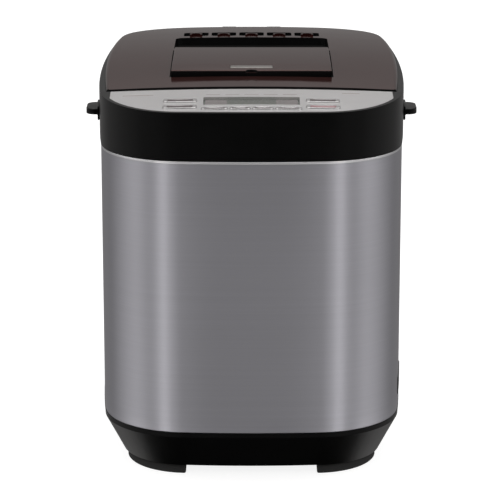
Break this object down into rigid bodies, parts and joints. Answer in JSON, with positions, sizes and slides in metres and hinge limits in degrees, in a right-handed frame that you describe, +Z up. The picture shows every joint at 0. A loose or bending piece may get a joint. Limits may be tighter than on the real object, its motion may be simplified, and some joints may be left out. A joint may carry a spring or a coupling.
{
  "type": "bread machine",
  "caption": "Free-standing bread machine with a rear-hinged lid, a sloping button panel, a fruit and nut dispenser, a belt-driven kneading pan and an oven chamber.",
  "frame": {"origin": "middle of the body's plan on the surface that it stands on", "axes": "+Z up, front with the control panel towards -Y, +X to the right of someone facing the front"},
  "size_m": [0.268, 0.356, 0.321],
  "materials": {
    "black_casing": "fine satin moulding",
    "lid_plastic": "smooth satin black",
    "outer_steel": "brushed around the body, clear coated",
    "fascia_silver": "satin silver lacquer",
    "button_silver": "metallic lacquer",
    "window": "clear window",
    "display": "grey green liquid crystal",
    "board": "green board",
    "rubber_black": "matt rubber",
    "silicone": "grey silicone",
    "screw_steel": "zinc plated",
    "oven_steel": "bright aluminised sheet",
    "chassis_steel": "galvanised",
    "element_steel": "heat darkened sheath",
    "ceramic_white": "unglazed ceramic",
    "cast_alloy": "die cast",
    "nonstick": "dark non-stick coating",
    "badge": "plain satin badge",
    "pulley_plastic": "glass filled nylon",
    "belt_rubber": "toothed belt",
    "motor_steel": "zinc plated can",
    "copper": "copper windings"
  },
  "bodies": {
    "housing": {"base_pan": "black_casing", "foot_pads": "rubber_black", "outer_wrap": "outer_steel", "top_collar": "black_casing", "panel_fascia": "fascia_silver", "display_window": "window", "display_module": "display", "control_board": "board", "board_screws": "screw_steel", "side_handle_left": "black_casing", "side_handle_right": "black_casing", "side_vent_grille": "black_casing", "cord_gland": "rubber_black", "hinge_pins": "screw_steel", "oven_chamber": "oven_steel", "heating_element": "element_steel", "heater_terminals": "ceramic_white", "heater_clips": "oven_steel", "temperature_sensor": "screw_steel", "thermal_fuse": "ceramic_white", "pan_socket": "cast_alloy", "bearing_housing": "cast_alloy", "chassis_plate": "chassis_steel", "tie_rods": "screw_steel", "drive_belt": "belt_rubber", "motor_can": "motor_steel", "motor_stator": "copper", "motor_grommets": "rubber_black", "motor_capacitor": "ceramic_white", "power_board": "board"},
    "lid": {"lid_shell": "lid_plastic", "vent_baffles": "lid_plastic", "lid_liner": "oven_steel", "lid_seal": "silicone", "liner_screws": "screw_steel", "dispenser_box": "black_casing", "dispenser_pins": "screw_steel", "dispenser_solenoid": "motor_steel"},
    "door": {"dispenser_door": "lid_plastic", "door_badge": "badge"},
    "flap": {"dispenser_flap": "nonstick"},
    "latch": {"solenoid_plunger": "screw_steel"},
    "pan": {"bread_pan": "nonstick", "pan_hub": "cast_alloy"},
    "bail": {"pan_handle": "screw_steel"},
    "kneader": {"paddle_shaft": "screw_steel", "kneading_paddle": "nonstick"},
    "drive": {"drive_shaft": "screw_steel", "drive_pulley": "pulley_plastic", "drive_coupler": "cast_alloy"},
    "motor": {"motor_rotor": "motor_steel", "small_pulley": "pulley_plastic"},
    "button_left_upper": {"button_left_upper": "button_silver"},
    "button_left_lower": {"button_left_lower": "button_silver"},
    "button_right_upper": {"button_right_upper": "button_silver"},
    "button_right_lower": {"button_right_lower": "button_silver"},
    "button_bar_first": {"button_bar_first": "button_silver"},
    "button_bar_second": {"button_bar_second": "button_silver"},
    "button_bar_third": {"button_bar_third": "button_silver"},
    "button_bar_fourth": {"button_bar_fourth": "button_silver"}
  },
  "joints": [
    {"name": "lid_hinge", "type": "hinge", "parent": "housing", "child": "lid", "pos_m": [0, 0.1736, 0.3079], "axis": [-1, 0, 0], "range_deg": [0, 75]},
    {"name": "door_hinge", "type": "hinge", "parent": "lid", "child": "door", "pos_m": [0, 0.0135, 0.3165], "axis": [-1, 0, 0], "range_deg": [0, 85]},
    {"name": "flap_hinge", "type": "hinge", "parent": "lid", "child": "flap", "pos_m": [0, -0.0015, 0.2837], "axis": [1, 0, 0], "range_deg": [0, 75]},
    {"name": "latch_slide", "type": "slide", "parent": "lid", "child": "latch", "axis": [1, 0, 0], "range_m": [0, 0.004], "stiffness_N_per_m": 150},
    {"name": "pan_lift", "type": "slide", "parent": "housing", "child": "pan", "axis": [0, 0, 1], "range_m": [0, 0.01]},
    {"name": "bail_hinge", "type": "hinge", "parent": "pan", "child": "bail", "pos_m": [0, 0.032, 0.262], "axis": [1, 0, 0], "range_deg": [0, 15]},
    {"name": "kneader_spin", "type": "hinge", "parent": "pan", "child": "kneader", "pos_m": [0, 0.032, 0.122], "axis": [0, 0, 1], "continuous": true},
    {"name": "drive_spin", "type": "hinge", "parent": "housing", "child": "drive", "pos_m": [0, 0.032, 0.092], "axis": [0, 0, 1], "continuous": true},
    {"name": "motor_spin", "type": "hinge", "parent": "housing", "child": "motor", "pos_m": [0, -0.07, 0.044], "axis": [0, 0, 1], "continuous": true},
    {"name": "press_left_upper", "type": "slide", "parent": "housing", "child": "button_left_upper", "axis": [0, 0.1115, -0.9938], "range_m": [0, 0.0008], "stiffness_N_per_m": 600},
    {"name": "press_left_lower", "type": "slide", "parent": "housing", "child": "button_left_lower", "axis": [0, 0.1115, -0.9938], "range_m": [0, 0.0008], "stiffness_N_per_m": 600},
    {"name": "press_right_upper", "type": "slide", "parent": "housing", "child": "button_right_upper", "axis": [0, 0.1115, -0.9938], "range_m": [0, 0.0008], "stiffness_N_per_m": 600},
    {"name": "press_right_lower", "type": "slide", "parent": "housing", "child": "button_right_lower", "axis": [0, 0.1115, -0.9938], "range_m": [0, 0.0008], "stiffness_N_per_m": 600},
    {"name": "press_bar_first", "type": "slide", "parent": "housing", "child": "button_bar_first", "axis": [0, 0.1115, -0.9938], "range_m": [0, 0.0008], "stiffness_N_per_m": 600},
    {"name": "press_bar_second", "type": "slide", "parent": "housing", "child": "button_bar_second", "axis": [0, 0.1115, -0.9938], "range_m": [0, 0.0008], "stiffness_N_per_m": 600},
    {"name": "press_bar_third", "type": "slide", "parent": "housing", "child": "button_bar_third", "axis": [0, 0.1115, -0.9938], "range_m": [0, 0.0008], "stiffness_N_per_m": 600},
    {"name": "press_bar_fourth", "type": "slide", "parent": "housing", "child": "button_bar_fourth", "axis": [0, 0.1115, -0.9938], "range_m": [0, 0.0008], "stiffness_N_per_m": 600}
  ],
  "couplings": [
    {"joint": "kneader_spin", "follows": "drive_spin", "ratio": 1},
    {"joint": "motor_spin", "follows": "drive_spin", "ratio": 4.5644}
  ]
}
